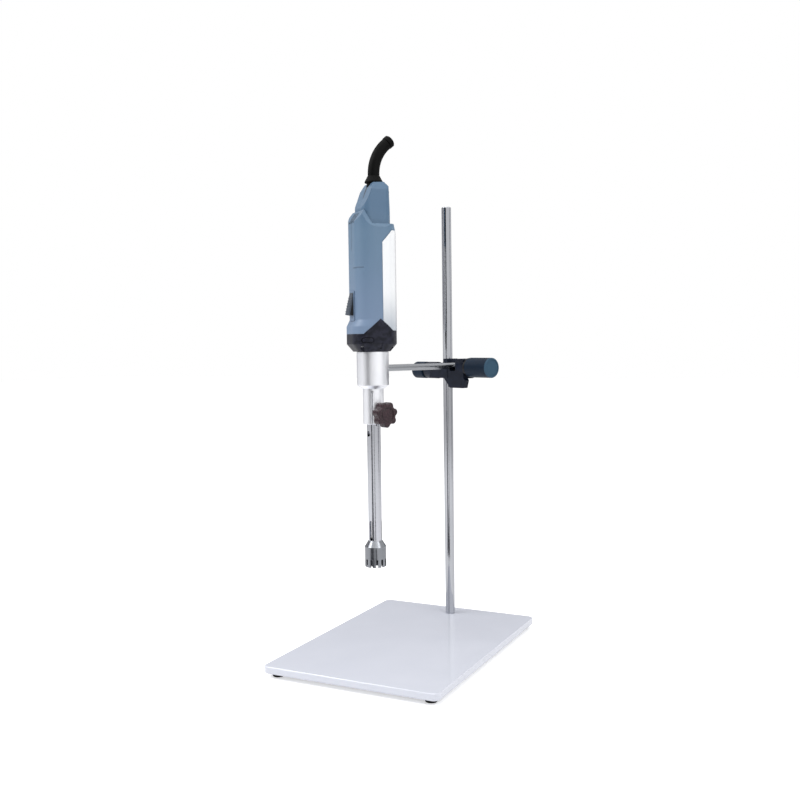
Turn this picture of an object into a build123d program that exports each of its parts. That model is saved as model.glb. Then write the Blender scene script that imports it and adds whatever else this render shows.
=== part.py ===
from build123d import *
import os
from math import cos, radians, sin

# Rotor stator homogenizer: a hand-held mixing motor carried by a cross clamp on
# a rod stand, with a slotted dispersing tool hanging from its collar.
# Everything is in millimetres, +Z is up, and the feet stand on Z = 0.

# General clearances
running_gap = 0.05
seat_gap = 0.3
cut_over = 1.0

# Stand: plate, feet and column
plate_width = 210.0
plate_depth = 300.0
plate_thickness = 8.0
plate_corner = 8.0
plate_edge_break = 0.8
foot_height = 5.0
foot_diameter = 14.0
foot_top_diameter = 12.0
foot_inset = 13.0
foot_rim_share = 1 / 3
foot_screw_diameter = 3.5
foot_screw_head_diameter = 6.5
foot_screw_head_height = 2.0
foot_screw_recess = 2.6
foot_screw_grip = 5.0
foot_screw_cross_share = 1 / 4
column_diameter = 12.0
column_height = 520.0
column_inset = 26.0
column_chamfer = 0.8
column_bolt_diameter = 8.0
column_bolt_head_diameter = 14.5
column_bolt_head_height = 3.8
column_bolt_reach = 14.0
column_bolt_socket = 5.0
column_bolt_socket_depth = 2.6
column_tap_spare = 3.0

# Cross clamp: one casting with two hooks and two hand screws
arm_height = 320.0
arm_turn = 25.0
arm_diameter = 8.0
clamp_web = 4.4
arm_hook_low_side = 10.0
arm_hook_far_side = 7.0
arm_hook_rise = 9.0
arm_hook_drop = 27.5
arm_hook_flank_drop = 15.0
arm_hook_heel = 3.0
arm_hook_toe = 15.0
arm_opening = 14.3
arm_wall = 15.0
arm_wall_flare = 3.0
arm_wall_flare_drop = 14.6
arm_keel_depth = 7.0
column_hook_side = 4.2
column_hook_far_side = 8.0
column_opening = 24.3
column_wall = 6.0
column_hook_height = 19.0
column_screw_drop = 6.0
column_boss_diameter = 21.4
column_boss_length = 18.0
clamp_edge_round = 1.2
clamp_screw_diameter = 8.0
arm_screw_drop = 2.0
arm_knob_diameter = 24.5
arm_knob_length = 38.0
arm_knob_skirt_length = 2.7
column_knob_diameter = 21.6
column_knob_length = 20.0
column_knob_neck_diameter = 14.0
column_knob_neck_length = 3.7
knob_end_break = 0.9
knob_dish_depth = 0.6
knob_dish_margin = 2.4
knob_grip_depth = 12.0
pad_diameter = 7.0
pad_thickness = 2.3
pad_stem_diameter = 3.0
pad_stem_length = 3.0

# Support arm: a plain rod with a reduced end that enters the collar
arm_reach = 131.0
arm_tail = 8.0
arm_stub_diameter = 6.0
arm_stub_length = 4.5
arm_end_break = 0.5

# Collar and tool sleeve: turned aluminium under the motor
collar_diameter = 37.6
collar_rise = 20.0
collar_height = 39.5
collar_cone_height = 4.0
collar_cone_diameter = 28.0
collar_top_break = 0.5
collar_spot_diameter = 11.0
collar_spot_depth = 0.9
neck_diameter = 26.0
neck_length = 22.0
set_screw_diameter = 4.0
set_screw_rise = 11.0
set_screw_socket = 2.0
set_screw_socket_depth = 2.0
set_screw_angles = (135.0, 180.0)
sleeve_diameter = 24.4
sleeve_length = 42.0
sleeve_spigot_diameter = 20.0
sleeve_spigot_length = 13.0
sleeve_slit_width = 1.0
sleeve_slit_angle = -43.0
sleeve_relief_diameter = 3.0
sleeve_relief_drop = 2.2
sleeve_socket_depth = 33.0
coupling_bore_diameter = 13.4

# Star knob that locks the tool in the sleeve
star_rise = 12.0
star_diameter = 30.5
star_lobes = 7
star_lobe_diameter = 8.6
star_core_diameter = 25.0
star_depth = 11.0
star_back = 16.5
star_boss_diameter = 15.0
star_boss_length = 3.0
star_edge_break = 1.1
star_ring_diameter = 18.0
star_ring_inner_diameter = 14.6
star_ring_depth = 1.0
star_hub_depth = 0.5
star_screw_diameter = 6.0
star_screw_grip = 8.0
star_pad_diameter = 4.6
star_pad_thickness = 1.2
star_pad_stem_diameter = 2.4
star_pad_stem_length = 2.0

# Dispersing tool: tube, slotted head, shaft and rotor
tube_diameter = 16.0
tube_bore = 13.0
tube_exposed = 139.0
tube_top_spare = 0.4
tube_hole_diameter = 6.4
tube_hole_drop = 11.5
tube_hole_angle = -92.0
window_count = 3
window_width = 4.6
window_length = 24.0
window_angle = -76.0
head_diameter = 25.6
head_cone_height = 7.2
head_barrel_height = 24.1
head_bore = 20.6
head_chamber_depth = 15.8
head_socket_depth = 12.5
head_rim_break = 0.7
head_slots = 12
head_slot_width = 2.7
head_slot_height = 9.6
shaft_diameter = 8.0
shaft_step_diameter = 6.0
rotor_diameter = 20.0
rotor_recess = 1.4
rotor_plate = 3.6
rotor_blades = 6
rotor_blade_thickness = 2.8
rotor_hub_diameter = 10.0
rotor_roof_gap = 0.6
rotor_screw_diameter = 3.0
rotor_screw_head_diameter = 6.4
rotor_screw_head_height = 2.2
rotor_screw_reach = 9.0
rotor_screw_slot = 0.9
lower_bush_length = 12.0
lower_bush_rise = 3.0
upper_bearing_length = 10.0
upper_bearing_drop = 4.0
tongue_width = 7.6
tongue_thickness = 3.0
tongue_length = 8.0
dog_diameter = 12.4
dog_length = 18.0
dog_slot_play = 0.15

# Motor: front cap, housing and tail
motor_turn = 50.0
housing_side = 53.2
housing_switch_side = 24.4
cap_switch_side = 28.4
housing_ramp_low = 29.2
housing_ramp_high = 37.0
housing_corner = 20.0
housing_wall = 2.5
cap_height = 24.0
cap_low_height = 20.5
cap_chamfer_height = 8.8
cap_chamfer_inset = 7.5
cap_floor = 3.0
cap_wall = 2.5
cap_peak_rise = 14.0
cap_peak_half = 16.5
cap_step_place = -20.0
cap_loop_length = 14.0
cap_loop_height = 7.0
cap_loop_line = 1.3
cap_loop_depth = 1.0
cap_loop_place = -15.5
cap_loop_rise = 13.0
cap_slot_width = 2.6
cap_slot_height = 10.0
cap_slot_place = 1.4
shoulder_low = 130.0
shoulder_low_top = 147.0
shoulder_high = 144.0
shoulder_high_top = 163.0
shoulder_front = 143.5
shoulder_front_brow = 24.6
tail_switch_side = 15.5
tail_back_side = 19.8
tail_joint_place = 8.0
tail_half_width = 18.0
tail_corner = 9.0
tail_rise = 49.3
tail_slope_shares = ((1.0, 0.385), (0.64, 0.602), (0.35, 0.836), (0.09, 0.982))
tail_back_shares = ((0.586, 1.0), (0.828, 0.892), (1.0, 0.0))
tail_side_break = 4.5
tail_root_depth = 7.0
louvre_count = 4
louvre_width = 1.6
louvre_pitch = 4.2
louvre_low = 148.5
louvre_high = 160.5
louvre_reach = 17.0
cap_screw_place = 17.2
cap_screw_switch_place = 19.2
cap_screw_diameter = 2.8
cap_screw_head_diameter = 5.0
cap_screw_head_height = 2.2
cap_screw_rise = 5.5
cap_screw_length = 20.0
post_diameter = 6.4
post_height = 5.0
tail_screw_shares = ((0.636, 0.264), (0.636, 0.751), (-0.328, 0.355))
tail_screw_diameter = 3.0
tail_screw_head_diameter = 5.6
tail_screw_head_height = 2.4
tail_screw_tip_spare = 3.0
tail_screw_sink = 2.4

# Label panel: a bare plate let into the housing
panel_depth = 0.8
panel_proud = 0.2
panel_edge_place = 3.3
panel_edge_height = 125.7
panel_corner_place = 16.0
panel_top_height = 139.6
panel_gap = 0.15

# Slide switch on the side away from the panel
switch_low = 42.0
switch_length = 26.5
switch_width = 11.0
switch_proud = 6.8
switch_foot = 1.0
switch_cap_thickness = 1.8
switch_travel = 5.0
switch_ribs = 6
switch_rib_height = 0.6
frame_width = 15.0
frame_plate = 1.0
frame_margin = 1.8
switch_stem_width = 5.0
switch_stem_length = 10.0
switch_stem_rise = 8.0
rod_thickness = 1.4
rod_width = 8.0
rod_top = 131.0
rod_hook_height = 3.0
micro_switch_depth = 7.4
micro_switch_width = 11.0
micro_switch_height = 16.0

# Motor internals
bracket_diameter = 44.0
bracket_plate = 4.0
front_bearing_diameter = 22.0
front_bearing_width = 7.0
front_bearing_rise = 9.0
rear_bearing_diameter = 19.0
rear_bearing_width = 6.0
motor_shaft_diameter = 10.0
rear_journal_diameter = 7.0
fan_low = 10.0
fan_diameter = 35.0
fan_height = 10.0
fan_plate = 1.5
fan_hub_diameter = 15.0
fan_blades = 9
fan_blade_thickness = 1.4
fan_blade_root_share = 2 / 3
baffle_low = 23.0
baffle_thickness = 2.0
baffle_bore = 31.0
field_low = 31.0
field_length = 50.0
field_bore = 30.8
field_margin = 0.2
field_flat = 19.9
coil_outer_diameter = 40.0
coil_inner_diameter = 32.0
coil_span_angle = 62.0
coil_leg_angle = 40.0
coil_overhang = 5.0
armature_diameter = 30.0
armature_inset = 2.0
armature_slots = 12
armature_slot_width = 2.2
armature_slot_depth = 5.0
winding_diameter = 27.0
winding_overhang = 7.0
commutator_low = 93.0
commutator_diameter = 18.0
commutator_length = 14.0
commutator_bars = 12
commutator_groove = 0.6
brush_width = 5.0
brush_height = 8.0
brush_length = 9.0
holder_wall = 1.2
holder_length = 12.5
spring_roll_diameter = 4.4
spring_strip = 0.6
bridge_low = 113.0
bridge_plate = 3.0
bridge_seat_height = 9.0
bridge_seat_wall = 2.5
bridge_rib_width = 12.0

# Strain relief boot where the cord leaves the tail
boot_place = 4.5
boot_root_depth = 7.7
boot_diameter = 13.8
boot_bore = 7.8
boot_flare_diameter = 18.6
boot_flare_height = 6.0
boot_collar_diameter = 16.4
boot_flange_diameter = 18.4
boot_flange_thickness = 3.0
boot_straight = 5.0
boot_bend_radius = 46.0
boot_bend_angle = 50.0
boot_tip_diameter = 14.8
boot_tip_length = 7.0
boot_tip_break = 1.2
boot_hole_gap = 0.1
cord_low = 150.0
cord_end_recess = 0.8

# Places worked out from the sizes above
column_radius = column_diameter / 2
arm_radius = arm_diameter / 2
arm_offset = column_radius + clamp_web + arm_radius + 2 * seat_gap
arm_wall_inner = arm_offset - arm_radius - seat_gap + arm_opening
arm_wall_outer = arm_wall_inner + arm_wall
column_wall_inner = column_radius + seat_gap - column_opening
column_boss_end = column_wall_inner - column_boss_length
column_knob_start = column_boss_end - seat_gap
column_knob_end = column_knob_start - column_knob_neck_length - column_knob_length
arm_knob_start = arm_wall_outer + seat_gap
arm_knob_end = arm_knob_start + arm_knob_skirt_length + arm_knob_length

plate_top = foot_height + plate_thickness
arm_z = plate_top + arm_height
turn = radians(arm_turn)
column_from_centre = plate_depth / 2 - column_inset
knob_back = -column_knob_end - knob_end_break
rear_overhang = (column_from_centre + knob_back * sin(turn)
                 + column_knob_diameter / 2 * cos(turn) - plate_depth / 2)
stand_y = -max(rear_overhang, 0) / 2
column_y = stand_y + column_from_centre
tail_height = shoulder_low_top + tail_rise
tail_root = shoulder_low_top - tail_root_depth
unit_x = arm_offset * cos(turn) - arm_reach * sin(turn)
unit_y = column_y - arm_offset * sin(turn) - arm_reach * cos(turn)

collar_top = arm_z + collar_rise
collar_bottom = collar_top - collar_height
sleeve_top = collar_bottom - collar_cone_height
sleeve_bottom = sleeve_top - sleeve_length
tube_top = sleeve_bottom + sleeve_socket_depth
head_top = sleeve_bottom - tube_exposed
head_bottom = head_top - head_cone_height - head_barrel_height
chamber_top = head_bottom + head_chamber_depth
star_z = sleeve_bottom + star_rise
motor_z = collar_top

stand_frame = Location((0, stand_y, 0))
column_frame = Location((0, column_y, 0))
clamp_frame = Location((0, column_y, arm_z), (0, 0, -arm_turn))
unit_frame = Location((unit_x, unit_y, 0), (0, 0, -arm_turn))
motor_frame = Location((unit_x, unit_y, motor_z), (0, 0, motor_turn))

parts = {}


def keep(name, shape, frame=None):
    """Place a finished piece and remember it under its name."""
    placed = frame * shape if frame else shape
    parts[name] = placed
    return placed


def rod(diameter, low, high):
    """An upright cylinder from one height to another."""
    return Pos(0, 0, low) * extrude(Circle(diameter / 2), high - low)


def pipe(outer, inner, low, high):
    """An upright tube from one height to another."""
    return Pos(0, 0, low) * extrude(Circle(outer / 2) - Circle(inner / 2), high - low)


def rod_x(diameter, start, end, y=0, z=0):
    """A cylinder lying along X from start to end."""
    low, high = min(start, end), max(start, end)
    return Pos(low, y, z) * Rot(0, 90, 0) * extrude(Circle(diameter / 2), high - low)


def rod_y(diameter, start, end, x=0, z=0):
    """A cylinder lying along Y from start to end."""
    low, high = min(start, end), max(start, end)
    return Pos(x, low, z) * Rot(-90, 0, 0) * extrude(Circle(diameter / 2), high - low)


def block(x, y, z):
    """A box given by its low and high value on each axis."""
    size = (x[1] - x[0], y[1] - y[0], z[1] - z[0])
    return Pos(x[0], y[0], z[0]) * Box(*size, align=(Align.MIN, Align.MIN, Align.MIN))


def outline(points):
    """A closed straight-sided face from its corner points."""
    return make_face(Polyline(*points, close=True))


def turned(points):
    """A body turned about Z from its half section in radius and height."""
    return revolve(Plane.XZ * outline(points), Axis.Z)


def side_cut(points, half):
    """A body whose X-Z outline runs the same way across Y."""
    return extrude(Plane.XZ * outline(points), half, both=True)


def front_cut(points, half):
    """A body whose Y-Z outline runs the same way across X."""
    return extrude(Plane.YZ * outline(points), half, both=True)


def hexagon_socket(across, low, high):
    """An upright hexagonal hole for an Allen key."""
    return Pos(0, 0, low) * extrude(RegularPolygon(across / 2, 6, major_radius=False), high - low)


# Stand

def base_plate():
    sheet = extrude(RectangleRounded(plate_width, plate_depth, plate_corner), plate_thickness)
    sheet = Pos(0, 0, foot_height) * sheet
    rims = sheet.faces().sort_by(Axis.Z)[-1].edges() + sheet.faces().sort_by(Axis.Z)[0].edges()
    sheet = chamfer(rims, plate_edge_break)
    bolt_hole = rod(column_bolt_diameter + 2 * running_gap, foot_height - cut_over,
                    plate_top + cut_over)
    wide, narrow = column_bolt_head_diameter / 2 + seat_gap, column_bolt_diameter / 2 + running_gap
    rim, tip = foot_height + seat_gap, foot_height + seat_gap + column_bolt_head_height
    cone = turned([(0, foot_height - seat_gap), (wide, foot_height - seat_gap), (wide, rim),
                   (narrow, tip), (0, tip)])
    sheet -= Pos(0, column_from_centre, 0) * (bolt_hole + cone)
    for place in foot_places():
        sheet -= place * rod(foot_screw_diameter, foot_height - cut_over, foot_height + foot_screw_grip)
    return sheet


def foot_places():
    across = plate_width / 2 - foot_inset
    along = plate_depth / 2 - foot_inset
    return [Pos(x, y, 0) for x in (-across, across) for y in (-along, along)]


def foot():
    low, high = foot_diameter / 2, foot_top_diameter / 2
    rim = foot_height * foot_rim_share
    body = turned([(0, 0), (high, 0), (low, rim), (low, foot_height), (0, foot_height)])
    body -= rod(foot_screw_head_diameter + 2 * running_gap, -cut_over, foot_screw_recess)
    return body - rod(foot_screw_diameter, -cut_over, foot_height + cut_over)


def foot_screw():
    head_low = foot_screw_recess - foot_screw_head_height
    head = rod(foot_screw_head_diameter, head_low, foot_screw_recess)
    shank = rod(foot_screw_diameter, foot_screw_recess, foot_height + foot_screw_grip)
    recess = foot_screw_diameter / 2
    half = recess * foot_screw_cross_share
    cross = block((-recess, recess), (-half, half), (head_low - cut_over, head_low + recess / 2))
    return head + shank - cross - Rot(0, 0, 90) * cross


def column():
    bar = rod(column_diameter, plate_top, plate_top + column_height)
    bar = chamfer(bar.edges(), column_chamfer)
    tap = column_bolt_reach + column_tap_spare
    return bar - rod(column_bolt_diameter + 2 * running_gap, plate_top - cut_over, plate_top + tap)


def column_bolt():
    low = foot_height + seat_gap
    profile = [(0, low), (column_bolt_head_diameter / 2, low),
               (column_bolt_diameter / 2, low + column_bolt_head_height),
               (column_bolt_diameter / 2, plate_top + column_bolt_reach), (0, plate_top + column_bolt_reach)]
    deep = low + column_bolt_socket_depth
    return turned(profile) - hexagon_socket(column_bolt_socket, low - cut_over, deep)


# Cross clamp. In its own frame X runs out of the arm screw, Y along the arm.

def arm_hook():
    low_side, far_side = -arm_hook_low_side, arm_hook_far_side
    web_face = arm_offset - arm_radius - seat_gap
    outer = outline([(arm_hook_heel, -arm_hook_flank_drop), (arm_hook_toe, -arm_hook_drop),
                     (arm_wall_outer, -arm_hook_drop),
                     (arm_wall_outer + arm_wall_flare, -arm_wall_flare_drop - arm_wall_flare),
                     (arm_wall_outer, -arm_wall_flare_drop), (arm_wall_outer, arm_hook_rise),
                     (arm_hook_heel, arm_hook_rise)])
    outer = fillet(outer.vertices(), clamp_edge_round)
    far = arm_wall_outer + arm_wall_flare
    seat = Pos(arm_offset, 0) * Circle(arm_radius + seat_gap)
    above = Rectangle(arm_opening, 2 * arm_hook_rise)
    above = Pos((web_face + arm_wall_inner) / 2, arm_hook_rise) * above
    low = arm_screw_drop + clamp_screw_diameter / 2 + seat_gap
    beside = Rectangle(arm_wall_inner - arm_offset, 2 * low)
    beside = Pos((arm_offset + arm_wall_inner) / 2, 0) * beside
    profile = outer - seat - above - beside
    body = Pos(0, far_side, 0) * extrude(Plane.XZ * profile, far_side - low_side)
    keel_top = -column_screw_drop - column_hook_height / 2
    return body - block((0, far), (low_side + arm_keel_depth, far_side), (-arm_hook_drop, keel_top))


def column_hook():
    side_face = -column_radius - seat_gap
    low, high = side_face - column_hook_side, column_hook_far_side
    left, right = column_wall_inner - column_wall, column_radius + seat_gap + clamp_web
    mass = block((left, right), (low, high),
                 (-column_screw_drop - column_hook_height / 2, -column_screw_drop + column_hook_height / 2))
    boss = rod_x(column_boss_diameter, column_wall_inner, column_boss_end, 0, -column_screw_drop)
    return mass + boss


def column_passage():
    side = column_radius + seat_gap
    reach = column_hook_far_side + column_boss_diameter
    tall = arm_hook_drop + arm_hook_rise
    open_side = block((column_wall_inner, 0), (-side, reach), (-tall, tall))
    web_side = block((0, side), (0, reach), (-tall, tall))
    return open_side + web_side + rod(2 * side, -tall, tall)


def boss_head():
    body = arm_hook() + column_hook()
    body -= column_passage()
    tap = clamp_screw_diameter + 2 * running_gap
    flare = arm_wall_outer + arm_wall_flare + cut_over
    body -= rod_x(tap, arm_wall_inner - cut_over, flare, 0, -arm_screw_drop)
    start, end = column_wall_inner + cut_over, column_boss_end - cut_over
    return body - rod_x(tap, start, end, 0, -column_screw_drop)


def hand_knob(diameter, start, length, z):
    """A plain round grip with a broken rim and a dished end, towards +X."""
    end = start + length
    grip = rod_x(diameter, start, end, 0, z)
    grip = chamfer(grip.edges(), knob_end_break)
    return grip - rod_x(diameter - 2 * knob_dish_margin, end - knob_dish_depth, end + cut_over, 0, z)


def hand_screw(tip, start, z):
    """The threaded stem of a hand knob, bored at its tip for the pad's stem."""
    stem = rod_x(clamp_screw_diameter, tip, start + knob_grip_depth, 0, z)
    deep = tip + pad_stem_length + running_gap
    return stem - rod_x(pad_stem_diameter + 2 * running_gap, tip - cut_over, deep, 0, z)


def pressure_pad(face, z):
    """The pad that stays still while its screw turns, with its stem towards +X."""
    back = face + pad_thickness
    stem = rod_x(pad_stem_diameter, back, back + pad_stem_length, 0, z)
    return rod_x(pad_diameter, face, back, 0, z) + stem


def arm_knob_pieces():
    face = arm_offset + arm_radius + seat_gap
    tip = face + pad_thickness + seat_gap
    grip_start = arm_knob_start + arm_knob_skirt_length
    screw = hand_screw(tip, grip_start, -arm_screw_drop)
    skirt = rod_x(arm_knob_diameter - knob_end_break, arm_knob_start, grip_start, 0, -arm_screw_drop)
    knob = hand_knob(arm_knob_diameter, grip_start, arm_knob_length, -arm_screw_drop)
    return {"arm_clamp_pad": pressure_pad(face, -arm_screw_drop), "arm_clamp_screw": screw,
            "arm_knob_skirt": skirt - screw, "arm_clamp_knob": knob - screw}


def column_knob_pieces():
    face = column_radius + seat_gap
    tip = face + pad_thickness + seat_gap
    neck_start = -column_knob_start
    grip_start = neck_start + column_knob_neck_length
    screw = hand_screw(tip, grip_start, -column_screw_drop)
    neck = rod_x(column_knob_neck_diameter, neck_start, grip_start, 0, -column_screw_drop)
    knob = hand_knob(column_knob_diameter, grip_start, column_knob_length, -column_screw_drop) + neck
    half_turn = Rot(0, 0, 180)
    return {"column_clamp_pad": half_turn * pressure_pad(face, -column_screw_drop),
            "column_clamp_screw": half_turn * screw, "column_clamp_knob": half_turn * (knob - screw)}


def support_arm():
    shoulder = -arm_reach + collar_diameter / 2 - collar_spot_depth + seat_gap
    bar = rod_y(arm_diameter, shoulder, arm_tail, arm_offset)
    bar = chamfer(bar.edges(), arm_end_break)
    return bar + rod_y(arm_stub_diameter, shoulder - arm_stub_length, shoulder, arm_offset)


# Collar, sleeve and star knob. Their frame has X along the star knob's screw.

def motor_collar():
    wide, cone = collar_diameter / 2, collar_cone_diameter / 2
    rim = collar_top - collar_top_break
    body = turned([(0, sleeve_top), (cone, sleeve_top), (wide, collar_bottom), (wide, rim),
                   (wide - collar_top_break, collar_top), (0, collar_top)])
    body -= rod(neck_diameter, collar_top - neck_length, collar_top + cut_over)
    body -= rod(sleeve_spigot_diameter, sleeve_top - cut_over, sleeve_top + sleeve_spigot_length)
    body -= rod(coupling_bore_diameter, sleeve_top, collar_top)
    spot = wide - collar_spot_depth
    body -= rod_y(collar_spot_diameter, spot, wide + cut_over, 0, arm_z)
    deep = spot - arm_stub_length
    body -= rod_y(arm_stub_diameter + 2 * running_gap, deep, wide + cut_over, 0, arm_z)
    tap = rod_x(set_screw_diameter, 0, wide + cut_over, 0, arm_z + set_screw_rise)
    for angle in set_screw_angles:
        body -= Rot(0, 0, angle) * tap
    return body


def set_screws():
    start, end = neck_diameter / 2, collar_diameter / 2 - collar_spot_depth
    screw = rod_x(set_screw_diameter, start, end, 0, arm_z + set_screw_rise)
    key = Rot(0, 90, 0) * hexagon_socket(set_screw_socket, 0, set_screw_socket_depth + cut_over)
    screw -= Pos(end - set_screw_socket_depth, 0, arm_z + set_screw_rise) * key
    return Compound([Rot(0, 0, angle) * screw for angle in set_screw_angles])


def tool_sleeve():
    body = rod(sleeve_diameter, sleeve_bottom, sleeve_top)
    body = chamfer(body.edges().sort_by(Axis.Z)[0], collar_top_break)
    body += rod(sleeve_spigot_diameter, sleeve_top, sleeve_top + sleeve_spigot_length)
    body -= rod(tube_diameter + 2 * running_gap, sleeve_bottom - cut_over, tube_top + tube_top_spare)
    body -= rod(coupling_bore_diameter, sleeve_bottom, sleeve_top + sleeve_spigot_length + cut_over)
    relief = sleeve_top - sleeve_relief_drop - sleeve_relief_diameter / 2
    slit = block((0, sleeve_diameter), (-sleeve_slit_width / 2, sleeve_slit_width / 2),
                 (sleeve_bottom - cut_over, relief))
    slit += rod_x(sleeve_relief_diameter, 0, sleeve_diameter, 0, relief)
    body -= Rot(0, 0, sleeve_slit_angle) * slit
    return body - rod_x(star_screw_diameter + 2 * running_gap, 0, sleeve_diameter, 0, star_z)


def star_pad():
    face = tube_diameter / 2 + seat_gap
    back = face + star_pad_thickness
    stem = rod_x(star_pad_stem_diameter, back, back + star_pad_stem_length, 0, star_z)
    return rod_x(star_pad_diameter, face, back, 0, star_z) + stem


def star_screw():
    tip = tube_diameter / 2 + 2 * seat_gap + star_pad_thickness
    stem = rod_x(star_screw_diameter, tip, star_back + star_screw_grip, 0, star_z)
    hole = rod_x(star_pad_stem_diameter + 2 * running_gap, tip - cut_over,
                 tip + star_pad_stem_length + running_gap, 0, star_z)
    return stem - hole


def star_knob():
    lobe_circle = (star_diameter - star_lobe_diameter) / 2
    profile = Circle(star_core_diameter / 2)
    profile += PolarLocations(lobe_circle, star_lobes) * Circle(star_lobe_diameter / 2)
    body = extrude(profile, star_depth)
    front = body.faces().sort_by(Axis.Z)[-1].edges()
    back = body.faces().sort_by(Axis.Z)[0].edges()
    body = chamfer(front + back, star_edge_break)
    ring = Circle(star_ring_diameter / 2) - Circle(star_ring_inner_diameter / 2)
    body -= Pos(0, 0, star_depth - star_ring_depth) * extrude(ring, star_ring_depth + cut_over)
    hub = Circle(star_ring_inner_diameter / 2)
    body -= Pos(0, 0, star_depth - star_hub_depth) * extrude(hub, star_hub_depth + cut_over)
    body += rod(star_boss_diameter, -star_boss_length, 0)
    facing = Pos(star_back, 0, star_z) * Rot(0, 90, 0)
    return facing * body - star_screw()


# Dispersing tool

def stator_tube():
    low = head_top - head_socket_depth
    body = pipe(tube_diameter, tube_bore, low, tube_top)
    hole_z = sleeve_bottom - tube_hole_drop
    cross_hole = rod_x(tube_hole_diameter, -tube_diameter, tube_diameter, 0, hole_z)
    body -= Rot(0, 0, tube_hole_angle) * cross_hole
    window = SlotOverall(window_length, window_width, rotation=90)
    window = Pos(0, 0, head_top + window_length / 2) * extrude(Plane.YZ * window, tube_diameter)
    for index in range(window_count):
        body -= Rot(0, 0, window_angle + index * 360 / window_count) * window
    return body


def stator_head():
    wide, narrow = head_diameter / 2, tube_diameter / 2
    shoulder = head_top - head_cone_height
    rim = head_bottom + head_rim_break
    body = turned([(0, head_bottom), (wide - head_rim_break, head_bottom), (wide, rim),
                   (wide, shoulder), (narrow + seat_gap, head_top), (0, head_top)])
    body -= rod(head_bore, head_bottom - cut_over, chamber_top)
    body -= rod(tube_diameter, head_top - head_socket_depth, head_top + cut_over)
    body -= rod(tube_bore, head_bottom, head_top)
    slot = block((0, head_diameter), (-head_slot_width / 2, head_slot_width / 2),
                 (head_bottom - cut_over, head_bottom + head_slot_height))
    for index in range(head_slots):
        body -= Rot(0, 0, index * 360 / head_slots) * slot
    return body


def rotor():
    low = head_bottom + rotor_recess
    high = chamber_top - rotor_roof_gap
    plate_low = high - rotor_plate
    body = rod(rotor_diameter, plate_low, high)
    half = rotor_blade_thickness / 2
    blade = block((0, rotor_diameter), (-half, half), (low, plate_low))
    blade &= rod(rotor_diameter, low, high)
    for index in range(rotor_blades):
        body += Rot(0, 0, index * 360 / rotor_blades) * blade
    hub_low = low + rotor_screw_head_height
    body += rod(rotor_hub_diameter, low, high)
    body -= rod(rotor_screw_head_diameter + 2 * running_gap, low - cut_over, hub_low)
    return body - rod(shaft_step_diameter, hub_low - cut_over, high + cut_over)


def rotor_screw():
    low = head_bottom + rotor_recess
    high = low + rotor_screw_head_height
    body = rod(rotor_screw_head_diameter, low, high)
    body += rod(rotor_screw_diameter, high, high + rotor_screw_reach)
    reach, half = rotor_screw_head_diameter, rotor_screw_slot / 2
    return body - block((-reach, reach), (-half, half), (low - cut_over, low + rotor_screw_slot))


def rotor_shaft():
    step = chamber_top - rotor_roof_gap
    low = head_bottom + rotor_recess + rotor_screw_head_height
    body = rod(shaft_step_diameter, low, step) + rod(shaft_diameter, step, tube_top)
    half, thick = tongue_width / 2, tongue_thickness / 2
    tongue = block((-half, half), (-thick, thick), (tube_top, tube_top + tongue_length))
    tongue &= rod(shaft_diameter, tube_top, tube_top + tongue_length)
    return body + tongue - rod(rotor_screw_diameter, low - cut_over, low + rotor_screw_reach)


def shaft_bush(low, length):
    return pipe(tube_bore, shaft_diameter + 2 * running_gap, low, low + length)


def drive_dog():
    low = tube_top + seat_gap
    body = rod(dog_diameter, low, low + dog_length)
    slot = tongue_thickness / 2 + dog_slot_play
    body -= block((-dog_diameter, dog_diameter), (-slot, slot), (low - cut_over, low + tongue_length))
    return body - rod(shaft_diameter, low + tongue_length + seat_gap, low + dog_length + cut_over)


# Motor housing. Its frame has X away from the switch and Z = 0 under the cap.

def plan_section(inset, switch_side):
    """The rounded plan of the motor, its switch side nearer or farther than the others."""
    width, depth = housing_side / 2 + switch_side - 2 * inset, housing_side - 2 * inset
    middle = (housing_side / 2 - switch_side) / 2
    return Pos(middle, 0) * RectangleRounded(width, depth, housing_corner - inset)


def core_section():
    """The plan of what fits inside the housing's slim upper walls."""
    return plan_section(housing_wall + field_margin, housing_switch_side)


def body_side_points(inset, low):
    edge, far_edge = housing_side / 2 - inset, cap_switch_side - inset
    left_top, right_top = tail_switch_side - inset, tail_back_side - inset
    return [(-far_edge, low), (-far_edge, shoulder_high - inset), (-left_top, shoulder_high_top - inset),
            (-tail_joint_place, shoulder_high_top - inset), (-tail_joint_place, shoulder_low_top - inset),
            (right_top, shoulder_low_top - inset), (edge, shoulder_low - inset), (edge, low)]


def body_front_points(inset, low):
    edge, brow, neck = housing_side / 2 - inset, shoulder_front_brow - inset, tail_half_width - inset
    top, bend = shoulder_high_top, shoulder_low_top - inset
    return [(-edge, low), (-edge, shoulder_front - inset), (-brow, bend), (-neck, top),
            (neck, top), (brow, bend), (edge, shoulder_front - inset), (edge, low)]


def body_form(inset, low=0):
    """The housing's solid outer form, all faces moved inward by the inset."""
    wide, slim = plan_section(inset, cap_switch_side), plan_section(inset, housing_switch_side)
    ramp = loft([Pos(0, 0, housing_ramp_low) * wide, Pos(0, 0, housing_ramp_high) * slim])
    prism = Pos(0, 0, low) * extrude(wide, housing_ramp_low - low) + ramp
    prism += Pos(0, 0, housing_ramp_high) * extrude(slim, shoulder_high_top - housing_ramp_high)
    prism &= side_cut(body_side_points(inset, low), housing_side)
    return prism & front_cut(body_front_points(inset, low), housing_side)


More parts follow.
